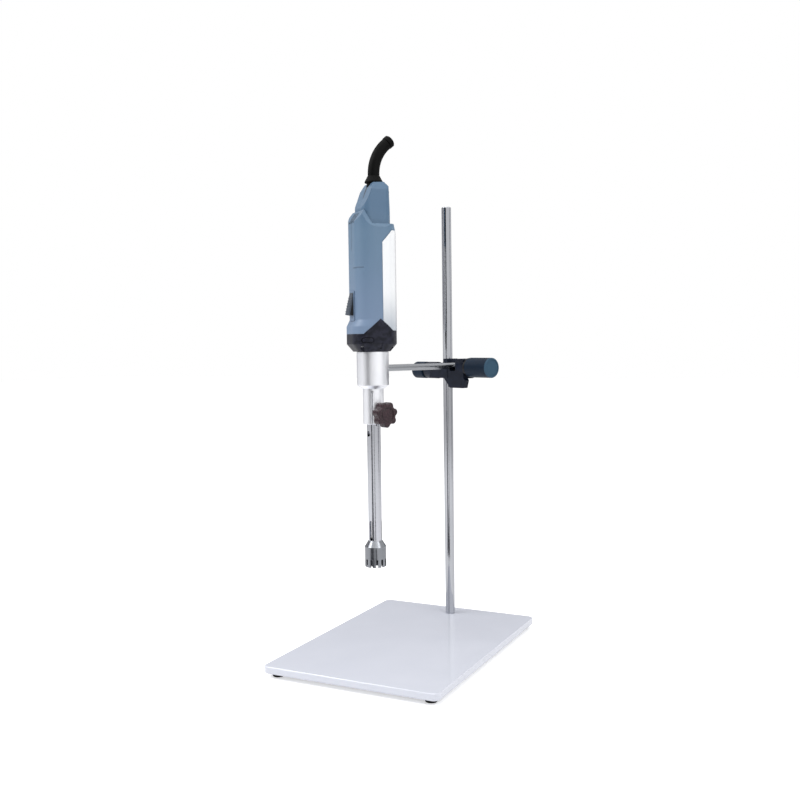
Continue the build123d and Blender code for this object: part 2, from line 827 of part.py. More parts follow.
def tail_form(inset):
    """The tail's solid outer form above the housing, moved inward by the inset."""
    left, right, half = tail_switch_side - inset, tail_back_side - inset, tail_half_width - inset
    top = tail_height - inset
    section = RectangleRounded(left + right, 2 * half, tail_corner - inset)
    prism = Pos((right - left) / 2, 0, tail_root) * extrude(section, tail_height - tail_root)
    base = shoulder_low_top - inset
    slope = [(inset - x * tail_switch_side, base + z * tail_rise) for x, z in tail_slope_shares]
    back = [(x * tail_back_side - inset, base + z * tail_rise) for x, z in tail_back_shares]
    side = [(-left, tail_root), *slope, *back, (right, tail_root)]
    bend, brow = top - 2 * tail_side_break, half - tail_side_break
    front = [(-half, tail_root), (-half, bend), (-brow, top), (brow, top), (half, bend), (half, tail_root)]
    return prism & side_cut(side, housing_side) & front_cut(front, housing_side)


def tail_screw_places():
    return [(x * tail_back_side, shoulder_low_top + z * tail_rise) for x, z in tail_screw_shares]


def above_joint():
    """Everything above the joint between housing and tail, which rises to the shoulder."""
    far, top = housing_side, tail_height + housing_side
    return side_cut([(-far, shoulder_high_top), (-tail_switch_side, shoulder_high_top),
                     (-tail_joint_place, shoulder_low_top), (far, shoulder_low_top), (far, top),
                     (-far, top)], far)


def cap_region(gap=0.0):
    """Everything under the cap's stepped and peaked upper edge."""
    far = housing_side
    step, rim, peak = cap_low_height + gap, cap_height + gap, cap_height + cap_peak_rise + gap
    return side_cut([(-far, -cut_over), (-far, step), (cap_step_place, step), (-cap_peak_half, rim),
                     (0, peak), (cap_peak_half, rim), (far, rim), (far, -cut_over)], far)


def cap_screw_places():
    place = cap_screw_place
    return [Pos(x, y, 0) for x in (-cap_screw_switch_place, place) for y in (-place, place)]


def cap_foot(inset, low):
    """The tapered lower part of the cap, all faces moved inward by the inset."""
    small = plan_section(cap_chamfer_inset + inset, cap_switch_side)
    wide = plan_section(inset, cap_switch_side)
    return loft([Pos(0, 0, low) * small, Pos(0, 0, cap_chamfer_height) * wide])


def cap_form(inset, low, high):
    """The cap's tapered foot with its upright walls up to a height."""
    walls = extrude(plan_section(inset, cap_switch_side), high - cap_chamfer_height)
    return cap_foot(inset, low) + Pos(0, 0, cap_chamfer_height) * walls


def front_cap():
    peak = cap_height + cap_peak_rise
    body = cap_form(0, 0, peak) & cap_region()
    body -= cap_form(cap_wall, cap_floor, peak + cut_over)
    body += cap_posts()
    for place in cap_screw_places():
        body -= place * rod(cap_screw_diameter, -cut_over, cap_height)
        body -= place * rod(cap_screw_head_diameter + 2 * running_gap, -cut_over,
                            cap_screw_rise + cap_screw_head_height)
    body -= rod(neck_diameter, -cut_over, cap_floor + cut_over)
    loop = SlotOverall(cap_loop_length, cap_loop_height)
    loop -= SlotOverall(cap_loop_length - 2 * cap_loop_line, cap_loop_height - 2 * cap_loop_line)
    marks = Pos(cap_loop_place, 0, cap_loop_rise) * extrude(Plane.XZ * loop, housing_side, both=True)
    across = (cap_slot_place - cap_slot_width / 2, cap_slot_place + cap_slot_width / 2)
    marks += block(across, (-housing_side, housing_side), (cap_floor, cap_slot_height))
    skin = cap_form(0, 0, peak) - cap_form(cap_loop_depth, 0, peak)
    return body - (marks & skin)


def cap_posts():
    """Screw posts in the corners of the cap, from its floor to its rim."""
    circles = Sketch() + [place * Circle(post_diameter / 2) for place in cap_screw_places()]
    form = cap_foot(0, 0)
    walls = extrude(plan_section(cap_wall / 2, cap_switch_side), cap_low_height - cap_chamfer_height)
    form += Pos(0, 0, cap_chamfer_height) * walls
    return extrude(circles, cap_low_height) & form


def cap_screws():
    head_top_z = cap_screw_rise + cap_screw_head_height
    head = rod(cap_screw_head_diameter, cap_screw_rise, head_top_z)
    screw = head + rod(cap_screw_diameter, head_top_z, cap_screw_rise + cap_screw_length)
    return Compound([place * screw for place in cap_screw_places()])


def panel_region(gap=0.0):
    """The panel's outline seen from the side, for the recess and the plate alike."""
    edge, corner, far = panel_edge_place - gap, panel_corner_place - gap, housing_side
    fall = cap_peak_rise / cap_peak_half
    low = cap_height + cap_peak_rise - fall * edge
    high, top = panel_edge_height + gap, panel_top_height + gap
    return side_cut([(edge, low), (edge, high), (corner, top), (far, top), (far, cap_height),
                     (cap_peak_half, cap_height)], far)


def label_panel():
    skin = body_form(-panel_proud, cap_height) - body_form(panel_depth, cap_height - cut_over)
    return skin & (panel_region() - cap_region(panel_gap)) - above_joint()


def louvre_cutters():
    cutters = []
    for index in range(louvre_count):
        y = (index - (louvre_count - 1) / 2) * louvre_pitch
        cutters.append(block((-housing_side, -louvre_reach),
                             (y - louvre_width / 2, y + louvre_width / 2), (louvre_low, louvre_high)))
    return cutters


def motor_housing():
    body = body_form(0, cap_low_height) - cap_region() - above_joint()
    body -= body_form(housing_wall, cap_low_height - cut_over)
    body -= tail_form(housing_wall)
    inside = body_form(housing_wall / 2, cap_low_height)
    for place in cap_screw_places():
        body += place * rod(post_diameter, cap_low_height, cap_height + post_height) & inside
    body -= cap_region()
    hole_top = cap_screw_rise + cap_screw_length
    for place in cap_screw_places():
        body -= place * rod(cap_screw_diameter, cap_low_height - cut_over, hole_top)
    recess = body_form(-cut_over, cap_low_height) - body_form(panel_depth, cap_low_height - cut_over)
    body -= recess & panel_region(panel_gap)
    slot_low = switch_low + switch_stem_rise - switch_travel - seat_gap
    slot_high = switch_low + switch_stem_rise + switch_stem_length + seat_gap
    half = switch_stem_width / 2 + seat_gap
    deep = -housing_switch_side + 2 * housing_wall
    body -= block((-housing_side, deep), (-half, half), (slot_low, slot_high))
    for cutter in louvre_cutters():
        body -= cutter
    return body


def tail_shell():
    body = (tail_form(0) & above_joint()) - tail_form(housing_wall)
    top = tail_height + cut_over
    body -= Pos(boot_place, 0, 0) * rod(boot_collar_diameter + 2 * boot_hole_gap, tail_root, top)
    half = tail_half_width - housing_wall / 2
    for x, z in tail_screw_places():
        body += rod_y(tail_screw_head_diameter + housing_wall, -half, half, x, z)
    return body & above_joint()


def tail_halves():
    """The tail is two shells, joined on the plane through the switch."""
    whole = tail_shell()
    far = 2 * tail_height
    near = whole & block((-far, far), (-far, 0), (-far, far))
    back = whole & block((-far, far), (0, far), (-far, far))
    head_y = tail_half_width - tail_screw_sink - tail_screw_head_height
    tip_y = -tail_half_width + tail_screw_tip_spare
    for x, z in tail_screw_places():
        near -= rod_y(tail_screw_diameter, tip_y, cut_over, x, z)
        back -= rod_y(tail_screw_diameter, -cut_over, tail_half_width, x, z)
        back -= rod_y(tail_screw_head_diameter + 2 * running_gap, head_y, far, x, z)
    return near, back


def tail_screws():
    head_y = tail_half_width - tail_screw_sink - tail_screw_head_height
    tip_y = -tail_half_width + tail_screw_tip_spare
    screws = []
    for x, z in tail_screw_places():
        head = rod_y(tail_screw_head_diameter, head_y, head_y + tail_screw_head_height, x, z)
        screws.append(head + rod_y(tail_screw_diameter, tip_y, head_y, x, z))
    return Compound(screws)


# Switch: a thumb slide in a frame, a rod behind the wall and the contact box

def switch_slope(offset):
    """Side outline of the thumb slide, moved inward from its sloping face."""
    face = housing_switch_side + frame_plate + seat_gap
    low, high = switch_low, switch_low + switch_length
    crown = face + switch_proud - switch_foot - offset
    return [(-face, low), (-crown, low + switch_foot), (-crown, low + 2 * switch_foot),
            (-face, high - offset * switch_length / switch_proud)]


def switch_carrier():
    body = side_cut(switch_slope(switch_cap_thickness), switch_width / 2)
    stem_low = switch_low + switch_stem_rise
    inner = -housing_switch_side + housing_wall + seat_gap
    half = switch_stem_width / 2
    stem = block((-housing_switch_side - frame_plate - seat_gap, inner), (-half, half),
                 (stem_low, stem_low + switch_stem_length))
    return body + stem


def switch_button():
    body = side_cut(switch_slope(0), switch_width / 2)
    run = switch_length - 2 * switch_foot
    rise = switch_proud - switch_foot
    face = housing_switch_side + frame_plate + seat_gap
    for index in range(switch_ribs):
        share = (index + 1) / (switch_ribs + 2)
        z = switch_low + 2 * switch_foot + share * run
        x = -face - rise * (1 - share)
        body += rod_y(2 * switch_rib_height, -switch_width / 2, switch_width / 2, x, z)
    return body - side_cut(switch_slope(switch_cap_thickness), switch_width)


def switch_frame():
    face = housing_switch_side
    low, high = switch_low - switch_travel - frame_margin, switch_low + switch_length + frame_margin
    width = frame_width / 2
    plate = block((-face - frame_plate, -face + panel_depth), (-width, width), (low, high))
    plate -= body_form(0, cap_low_height)
    slot_low = switch_low + switch_stem_rise - switch_travel - seat_gap
    slot_high = switch_low + switch_stem_rise + switch_stem_length + seat_gap
    half = switch_stem_width / 2 + seat_gap
    return plate - block((-housing_side, 0), (-half, half), (slot_low, slot_high))


def switch_rod():
    wall = -housing_switch_side + housing_wall + seat_gap
    stem_low = switch_low + switch_stem_rise
    half = rod_width / 2
    strip = block((wall, wall + rod_thickness), (-half, half), (stem_low, rod_top))
    hook_low = rod_top - rod_hook_height
    return strip + block((wall, micro_switch_start() - seat_gap), (-half, half), (hook_low, rod_top))


def micro_switch_start():
    seat = rear_bearing_diameter / 2 + bridge_seat_wall
    return -seat - seat_gap - micro_switch_depth


def micro_switch():
    start, low, half = micro_switch_start(), bridge_low + bridge_plate, micro_switch_width / 2
    return block((start, start + micro_switch_depth), (-half, half), (low, low + micro_switch_height))


# Motor internals, from the nose to the tail

def bearing_bracket():
    body = rod(neck_diameter, -neck_length, cap_floor)
    body += rod(bracket_diameter, cap_floor, cap_floor + bracket_plate) & bracket_limit()
    seat_low = -neck_length + front_bearing_rise
    body -= rod(front_bearing_diameter, seat_low, cap_floor + bracket_plate + cut_over)
    return body - rod(coupling_bore_diameter, -neck_length - cut_over, seat_low + cut_over)


def bracket_limit():
    """Room for the bracket between the cap's screw posts and walls."""
    side = housing_side - 2 * cap_chamfer_inset - 2 * cap_wall - 2 * seat_gap
    corner = housing_corner - cap_chamfer_inset - cap_wall
    room = extrude(RectangleRounded(side, side, corner), cap_height)
    for place in cap_screw_places():
        room -= place * rod(post_diameter + 2 * seat_gap, 0, cap_height)
    return room


def front_bearing():
    low = -neck_length + front_bearing_rise
    bore = shaft_diameter + 2 * running_gap
    return pipe(front_bearing_diameter, bore, low, low + front_bearing_width)


def rear_bearing_low():
    return bridge_low + bridge_plate


def rear_bearing():
    low = rear_bearing_low()
    bore = rear_journal_diameter + 2 * running_gap
    return pipe(rear_bearing_diameter, bore, low, low + rear_bearing_width)


def motor_shaft():
    dog_hole = tube_top + seat_gap + tongue_length + seat_gap - motor_z
    step = -neck_length + front_bearing_rise + front_bearing_width + seat_gap
    rear = rear_bearing_low() - seat_gap
    body = rod(shaft_diameter, dog_hole, step) + rod(motor_shaft_diameter, step, rear)
    return body + rod(rear_journal_diameter, rear, rear + rear_bearing_width + 2 * seat_gap)


def cooling_fan():
    body = rod(fan_diameter, fan_low + fan_height - fan_plate, fan_low + fan_height)
    body += rod(fan_hub_diameter, fan_low, fan_low + fan_height)
    root, tip = fan_hub_diameter / 2 * fan_blade_root_share, fan_diameter / 2 - seat_gap
    half = fan_blade_thickness / 2
    blade = block((root, tip), (-half, half), (fan_low, fan_low + fan_height))
    for index in range(fan_blades):
        body += Rot(0, 0, index * 360 / fan_blades) * blade
    return body - rod(motor_shaft_diameter, fan_low - cut_over, fan_low + fan_height + cut_over)


def air_baffle():
    ring = plan_section(housing_wall + field_margin, cap_switch_side) - Circle(baffle_bore / 2)
    body = Pos(0, 0, baffle_low) * extrude(ring, baffle_thickness)
    for place in cap_screw_places():
        body -= place * rod(post_diameter + 2 * seat_gap, 0, field_low)
    return body - rod_clearance()


def rod_clearance():
    """The strip of space that the switch rod slides in."""
    far = housing_side
    return block((-far, -field_flat), (-far, far), (0, tail_height))


def coil(side):
    low, high = field_low - coil_overhang, field_low + field_length + coil_overhang
    ring = pipe(coil_outer_diameter, coil_inner_diameter, low, high)
    wedge = sector(coil_span_angle, 2 * housing_side)
    loop = ring & (Pos(0, 0, low) * extrude(wedge, high - low))
    gap = sector(coil_leg_angle, 2 * housing_side)
    loop -= Pos(0, 0, field_low) * extrude(gap, field_length)
    return Rot(0, 0, 90 * side) * loop


def sector(half_angle, reach):
    """A triangle from the axis along +X, spread by the half angle each way."""
    spread = radians(half_angle)
    far, wide = reach * cos(spread), reach * sin(spread)
    return outline([(0, 0), (far, wide), (far, -wide)])


def field_core():
    section = core_section() - Circle(field_bore / 2)
    body = Pos(0, 0, field_low) * extrude(section, field_length)
    for side in (-1, 1):
        body -= coil(side)
    return body - rod_clearance()


def armature_low():
    return field_low + armature_inset


def armature_high():
    return field_low + field_length - armature_inset


def slot_bars(low, high):
    outer = armature_diameter / 2 - running_gap
    bar = block((outer - armature_slot_depth, outer - running_gap),
                (-armature_slot_width / 2, armature_slot_width / 2), (low, high))
    return [Rot(0, 0, index * 360 / armature_slots) * bar for index in range(armature_slots)]


def armature_core():
    low, high = armature_low(), armature_high()
    body = pipe(armature_diameter, motor_shaft_diameter, low, high)
    outer = armature_diameter / 2
    slot = block((outer - armature_slot_depth - running_gap, outer + cut_over),
                 (-armature_slot_width / 2, armature_slot_width / 2), (low - cut_over, high + cut_over))
    for index in range(armature_slots):
        body -= Rot(0, 0, index * 360 / armature_slots) * slot
    return body


def armature_windings():
    low, high = armature_low(), armature_high()
    over = winding_overhang
    body = pipe(winding_diameter, motor_shaft_diameter, low - over, low)
    body += pipe(winding_diameter, motor_shaft_diameter, high, high + over)
    for bar in slot_bars(low, high):
        body += bar
    return body


def commutator():
    low, high = commutator_low, commutator_low + commutator_length
    body = pipe(commutator_diameter, motor_shaft_diameter, low, high)
    groove = block((commutator_diameter / 2 - commutator_groove, commutator_diameter),
                   (-commutator_groove / 2, commutator_groove / 2), (low - cut_over, high + cut_over))
    for index in range(commutator_bars):
        body -= Rot(0, 0, index * 360 / commutator_bars) * groove
    return body


def brush_middle():
    return commutator_low + commutator_length / 2


def brushes():
    start = commutator_diameter / 2 + seat_gap
    half, tall, z = brush_width / 2, brush_height / 2, brush_middle()
    brush = block((start, start + brush_length), (-half, half), (z - tall, z + tall))
    brush -= rod(commutator_diameter + 2 * seat_gap, z - brush_height, z + brush_height)
    return Compound([Rot(0, 0, angle) * brush for angle in (90, 270)])


def holder_start():
    return housing_side / 2 - housing_wall - field_margin - holder_length


def brush_holders():
    start = holder_start()
    half, tall, z = brush_width / 2, brush_height / 2, brush_middle()
    wall, end = holder_wall, start + holder_length
    tube_box = block((start, end), (-half - wall, half + wall), (z - tall - wall, z + tall + wall))
    tube_box -= block((start - wall, end - wall), (-half, half), (z - tall, z + tall))
    return Compound([Rot(0, 0, angle) * tube_box for angle in (90, 270)])


def brush_springs():
    start = commutator_diameter / 2 + seat_gap + brush_length
    radius, width = spring_roll_diameter / 2, brush_width - spring_strip
    roll = extrude(Circle(radius) - Circle(radius - spring_strip), width)
    roll = Pos(start + radius, width / 2, brush_middle()) * Rot(90, 0, 0) * roll
    return Compound([Rot(0, 0, angle) * roll for angle in (90, 270)])


def bearing_bridge():
    half = housing_side / 2 - housing_wall - field_margin
    width = bridge_rib_width / 2
    low, high = bridge_low, bridge_low + bridge_plate
    seat = rear_bearing_diameter + 2 * bridge_seat_wall
    body = block((-half, half), (-width, width), (low, high))
    body += block((-width, width), (-half, half), (low, high))
    body += rod(seat, low, low + bridge_seat_height)
    body -= rod_clearance()
    body -= rod(rear_bearing_diameter, high, low + bridge_seat_height + cut_over)
    return body - rod(motor_shaft_diameter + 2 * seat_gap, low - cut_over, high + cut_over)


# Strain relief boot and the end of the lead inside it

def boot_bend_low():
    return tail_height + boot_flare_height + boot_straight


def boot_bend(section):
    """A section swept round the boot's bend."""
    low = boot_bend_low()
    centre = Axis((boot_bend_radius, 0, low), (0, 1, 0))
    return revolve(Pos(0, 0, low) * section, centre, boot_bend_angle)


def boot_tip_place():
    bend_turn = radians(boot_bend_angle)
    rise = boot_bend_low() + boot_bend_radius * sin(bend_turn)
    return Pos(boot_bend_radius * (1 - cos(bend_turn)), 0, rise) * Rot(0, boot_bend_angle, 0)


def boot():
    top, radius = tail_height, boot_diameter / 2
    flange, groove, flare = boot_flange_diameter / 2, boot_collar_diameter / 2, boot_flare_diameter / 2
    flange_top = top - housing_wall
    flange_low, bend_z = flange_top - boot_flange_thickness, boot_bend_low()
    root_low = top - boot_root_depth
    root = turned([(0, root_low), (groove, root_low), (groove, top), (flare, top),
                   (radius, top + boot_flare_height), (radius, bend_z), (0, bend_z)])
    inside = Pos(-boot_place, 0, 0) * tail_form(housing_wall + boot_hole_gap)
    root += rod(2 * flange, flange_low, flange_top) & inside
    root -= rod(boot_bore, tail_root, top + boot_bend_radius)
    bend = boot_bend(Circle(radius) - Circle(boot_bore / 2))
    tip = chamfer(rod(boot_tip_diameter, 0, boot_tip_length).edges(), boot_tip_break)
    tip -= rod(boot_bore, -cut_over, boot_tip_length + cut_over)
    return Pos(boot_place, 0, 0) * (root + bend + boot_tip_place() * tip)


def boot_core():
    """The end of the lead inside the tail and the boot."""
    thick = boot_bore - 2 * running_gap
    straight = rod(thick, cord_low, boot_bend_low())
    tip = boot_tip_place() * rod(thick, 0, boot_tip_length - cord_end_recess)
    return Pos(boot_place, 0, 0) * (straight + boot_bend(Circle(thick / 2)) + tip)


# Assembly

keep("base_plate", base_plate(), stand_frame)
keep("rubber_feet", Compound([place * foot() for place in foot_places()]), stand_frame)
keep("foot_screws", Compound([place * foot_screw() for place in foot_places()]), stand_frame)
keep("column", column(), column_frame)
keep("column_bolt", column_bolt(), column_frame)

keep("boss_head", boss_head(), clamp_frame)
for name, piece in {**arm_knob_pieces(), **column_knob_pieces()}.items():
    keep(name, piece, clamp_frame)
keep("support_arm", support_arm(), clamp_frame)

keep("motor_collar", motor_collar(), unit_frame)
keep("collar_set_screws", set_screws(), unit_frame)
keep("tool_sleeve", tool_sleeve(), unit_frame)
keep("star_pad", star_pad(), unit_frame)
keep("star_screw", star_screw(), unit_frame)
keep("star_knob", star_knob(), unit_frame)

keep("stator_tube", stator_tube(), unit_frame)
keep("stator_head", stator_head(), unit_frame)
keep("rotor", rotor(), unit_frame)
keep("rotor_screw", rotor_screw(), unit_frame)
keep("rotor_shaft", rotor_shaft(), unit_frame)
bush_low = head_top + window_length + lower_bush_rise
keep("lower_bush", shaft_bush(bush_low, lower_bush_length), unit_frame)
bush_low = tube_top - upper_bearing_drop - upper_bearing_length
keep("upper_bearing", shaft_bush(bush_low, upper_bearing_length), unit_frame)
keep("drive_dog", drive_dog(), unit_frame)

keep("front_cap", front_cap(), motor_frame)
keep("cap_screws", cap_screws(), motor_frame)
keep("motor_housing", motor_housing(), motor_frame)
keep("label_panel", label_panel(), motor_frame)
tail_near, tail_back = tail_halves()
keep("tail_shell_near", tail_near, motor_frame)
keep("tail_shell_back", tail_back, motor_frame)
keep("tail_screws", tail_screws(), motor_frame)
keep("strain_relief_boot", boot(), motor_frame)
keep("boot_core", boot_core(), motor_frame)
keep("switch_frame", switch_frame(), motor_frame)
keep("switch_button", switch_button(), motor_frame)
keep("switch_carrier", switch_carrier(), motor_frame)
keep("switch_rod", switch_rod(), motor_frame)
keep("micro_switch", micro_switch(), motor_frame)

keep("bearing_bracket", bearing_bracket(), motor_frame)
keep("front_bearing", front_bearing(), motor_frame)
keep("rear_bearing", rear_bearing(), motor_frame)
keep("bearing_bridge", bearing_bridge(), motor_frame)
keep("motor_shaft", motor_shaft(), motor_frame)
keep("cooling_fan", cooling_fan(), motor_frame)
keep("air_baffle", air_baffle(), motor_frame)
keep("field_core", field_core(), motor_frame)
keep("field_coils", Compound([coil(-1), coil(1)]), motor_frame)
keep("armature_core", armature_core(), motor_frame)
keep("armature_windings", armature_windings(), motor_frame)
keep("commutator", commutator(), motor_frame)
keep("carbon_brushes", brushes(), motor_frame)
keep("brush_holders", brush_holders(), motor_frame)
keep("brush_springs", brush_springs(), motor_frame)

os.makedirs("parts", exist_ok=True)
for name, shape in parts.items():
    export_step(shape, f"parts/{name}.step")
print(len(parts), "pieces written")
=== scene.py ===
import math

import bmesh
import bpy
from mathutils import Matrix, Vector


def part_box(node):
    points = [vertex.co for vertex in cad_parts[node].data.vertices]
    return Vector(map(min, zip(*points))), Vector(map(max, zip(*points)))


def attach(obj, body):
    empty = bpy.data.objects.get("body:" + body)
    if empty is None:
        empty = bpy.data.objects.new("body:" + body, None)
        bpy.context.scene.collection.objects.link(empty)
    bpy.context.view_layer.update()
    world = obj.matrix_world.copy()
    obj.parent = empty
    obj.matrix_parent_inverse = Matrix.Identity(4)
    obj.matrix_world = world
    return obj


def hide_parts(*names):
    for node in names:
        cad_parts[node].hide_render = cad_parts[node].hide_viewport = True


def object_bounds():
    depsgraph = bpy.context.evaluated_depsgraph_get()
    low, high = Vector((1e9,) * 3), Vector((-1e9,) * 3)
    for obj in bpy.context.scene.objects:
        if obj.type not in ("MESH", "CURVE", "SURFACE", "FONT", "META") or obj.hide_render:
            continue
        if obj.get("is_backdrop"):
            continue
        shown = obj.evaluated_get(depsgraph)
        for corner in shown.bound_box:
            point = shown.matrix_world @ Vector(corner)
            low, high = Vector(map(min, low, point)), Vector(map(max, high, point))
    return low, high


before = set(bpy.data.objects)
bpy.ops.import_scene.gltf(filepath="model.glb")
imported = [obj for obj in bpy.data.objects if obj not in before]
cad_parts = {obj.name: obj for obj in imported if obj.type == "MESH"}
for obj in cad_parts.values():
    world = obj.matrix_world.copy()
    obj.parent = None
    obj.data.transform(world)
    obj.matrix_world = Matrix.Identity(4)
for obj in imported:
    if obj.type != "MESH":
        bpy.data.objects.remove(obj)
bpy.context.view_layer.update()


# Camera. It stands in front and to the right of the stand, a little above the
# clamp's height, and looks slightly down along a line turned 26 degrees from the
# plate's long side.
def put(name, data, stand=Matrix.Identity(4)):
    """An object of the scene, standing as its matrix says."""
    made = bpy.data.objects.new(name, data)
    made.matrix_world = stand
    bpy.context.scene.collection.objects.link(made)
    return made


camera_place = (0.49324, -1.01069, 0.36197)
look_turn, look_drop, look_roll = (math.radians(a) for a in (26.437, 3.354, -0.756))
ahead = Vector((-math.sin(look_turn) * math.cos(look_drop),
                math.cos(look_turn) * math.cos(look_drop), -math.sin(look_drop)))
level = Vector((math.cos(look_turn), math.sin(look_turn), 0))
upward = level.cross(ahead)
right = math.cos(look_roll) * level + math.sin(look_roll) * upward
top = -math.sin(look_roll) * level + math.cos(look_roll) * upward
facing = Matrix((right, top, -ahead)).transposed().to_4x4()
camera = put("camera", bpy.data.cameras.new("camera"), Matrix.Translation(camera_place) @ facing)
camera.data.lens = 43.40
camera.data.sensor_width = 36.0
camera.data.clip_start, camera.data.clip_end = 0.01, 50.0
bpy.context.scene.camera = camera
bpy.context.scene.view_settings.view_transform = "Standard"


# Studio. A white sweep under three soft boxes, above and at both sides. Dark flags
# that only mirrors see stand round it and draw the dark lines in the polished rods.
# Two of them have a strip of their cloth on the floor, for what the rods mirror there.
class Value:
    """A shader socket that takes part in plain arithmetic."""

    def __init__(self, finish, output):
        self.finish, self.output = finish, output

    def maths(self, operation, *terms):
        return self.finish.node("ShaderNodeMath", {"operation": operation}, dict(enumerate(terms)))

    def __add__(self, other):
        return self.maths("ADD", self, other)

    def __radd__(self, other):
        return self.maths("ADD", other, self)

    def __sub__(self, other):
        return self.maths("SUBTRACT", self, other)

    def __rsub__(self, other):
        return self.maths("SUBTRACT", other, self)

    def __mul__(self, other):
        return self.maths("MULTIPLY", self, other)

    def __rmul__(self, other):
        return self.maths("MULTIPLY", other, self)

    def __abs__(self):
        return self.maths("ABSOLUTE", self)

    def rise(self, low, high):
        """0 up to low, 1 from high on, with a soft rise between; the other way round if low is above."""
        start, end = (0.0, 1.0) if low < high else (1.0, 0.0)
        return self.finish.node("ShaderNodeMapRange", {"interpolation_type": "SMOOTHSTEP"},
                                {"Value": self, "From Min": min(low, high), "From Max": max(low, high),
                                 "To Min": start, "To Max": end})

    def within(self, low, high, soft):
        """1 between low and high, fading to 0 over soft metres outside them."""
        return self.rise(low - soft, low) * self.rise(high + soft, high)


class Finish:
    """One surface finish, or the studio's sky: shader nodes that are added as they are needed."""

    def __init__(self, owner):
        owner.use_nodes = True
        self.owner, self.tree = owner, owner.node_tree
        self.tree.nodes.clear()

    def node(self, kind, settings=None, inputs=None, output=0):
        """One node of a kind, its settings made first, then its sockets set or linked."""
        made = self.tree.nodes.new(kind)
        for key, value in (settings or {}).items():
            setattr(made, key, value)
        for key, value in (inputs or {}).items():
            if isinstance(value, Value):
                self.tree.links.new(value.output, made.inputs[key])
            elif made.inputs[key].type == "RGBA":
                made.inputs[key].default_value = (*value, 1.0)
            else:
                made.inputs[key].default_value = value
        return Value(self, made.outputs[output]) if made.outputs else None

    def place(self, origin=(0, 0, 0), turn=0.0, stretch=(1, 1, 1)):
        """The place in a piece, from an origin, in axes turned by some degrees, each stretched."""
        return self.node("ShaderNodeMapping", {"vector_type": "TEXTURE"},
                         {"Vector": self.node("ShaderNodeTexCoord", output="Object"),
                          "Location": origin, "Rotation": (0, 0, math.radians(turn)), "Scale": stretch})

    def axis(self, vector, name):
        return self.node("ShaderNodeSeparateXYZ", {}, {0: vector}, name)

    def noise(self, size, detail=3.0, **lie):
        """Noise whose grains are about size metres across."""
        return self.node("ShaderNodeTexNoise", {},
                         {"Vector": self.place(**lie), "Scale": 1 / size, "Detail": detail})

    def mix(self, factor, first, second):
        """Two colours mixed by a factor."""
        return self.node("ShaderNodeMix", {"data_type": "RGBA"}, {0: factor, 6: first, 7: second}, 2)

    def relief(self, height, depth, edge=0.0):
        """The normal of a surface whose relief is height times depth metres, its edges rounded."""
        inputs = {"Height": height, "Distance": depth}
        if edge:
            inputs["Normal"] = self.node("ShaderNodeBevel", {"samples": 6}, {"Radius": edge})
        return self.node("ShaderNodeBump", {}, inputs)

    def surface(self, **inputs):
        """Ends the material with one Principled shader."""
        names = {key.replace("_", " "): value for key, value in inputs.items()}
        shader = self.node("ShaderNodeBsdfPrincipled", {}, names)
        self.node("ShaderNodeOutputMaterial", {}, {"Surface": shader})
        return self.owner


def new_finish(name):
    return Finish(bpy.data.materials.new(name))


def aimed(place, facing, front):
    """The matrix of a lamp or card at a place, its front towards a point."""
    aim = (Vector(facing) - Vector(place)).to_track_quat(front, "Y")
    return Matrix.Translation(place) @ aim.to_matrix().to_4x4()


def card(name, width, height, stand, material):
    """A flat studio card, which isn't part of the object."""
    mesh = bpy.data.meshes.new(name)
    w, h = width / 2, height / 2
    mesh.from_pydata([(-w, -h, 0), (w, -h, 0), (w, h, 0), (-w, h, 0)], [], [(0, 1, 2, 3)])
    mesh.materials.append(material)
    made = put(name, mesh, stand)
    made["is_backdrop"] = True
    return made


def lamp(name, width, height, place, facing, watts):
    """A soft box that faces a point."""
    data = bpy.data.lights.new(name, "AREA")
    data.shape, data.size, data.size_y, data.energy = "RECTANGLE", width, height, watts
    put(name, data, aimed(place, facing, "-Z"))


floor_size, floor_drop = 16.0, 0.0003
white_sweep = new_finish("white_sweep")
seen = white_sweep.node("ShaderNodeLightPath", output="Is Camera Ray")
mirrored = white_sweep.node("ShaderNodeLightPath", output="Is Glossy Ray")
card("floor", floor_size, floor_size, aimed((0, 0, -floor_drop), (0, 0, 1), "Z"), white_sweep.surface(
    Base_Color=(0.86, 0.86, 0.87), Roughness=0.9, Emission_Color=(1.0, 1.0, 1.0),
    Emission_Strength=0.5 * seen + 0.15 * mirrored))

sky = Finish(bpy.data.worlds.new("studio_sky"))
seen = sky.node("ShaderNodeLightPath", output="Is Camera Ray")
mirrored = sky.node("ShaderNodeLightPath", output="Is Glossy Ray")
passed = sky.node("ShaderNodeLightPath", output="Is Transmission Ray")
sky.node("ShaderNodeOutputWorld", {}, {"Surface": sky.node(
    "ShaderNodeBackground", {}, {"Color": (1.0, 1.0, 1.0),
                                 "Strength": 0.60 + 0.40 * (seen + mirrored + passed)})})
bpy.context.scene.world = sky.owner

lamp("overhead", 1.6, 1.6, (0.1, -0.4, 1.9), (0, 0, 0.2), 11)
lamp("left_box", 1.2, 1.0, (-1.3, -0.9, 1.5), (0, 0, 0.35), 16.5)
lamp("right_box", 1.0, 0.8, (1.5, -0.4, 1.4), (0, 0, 0.35), 9)

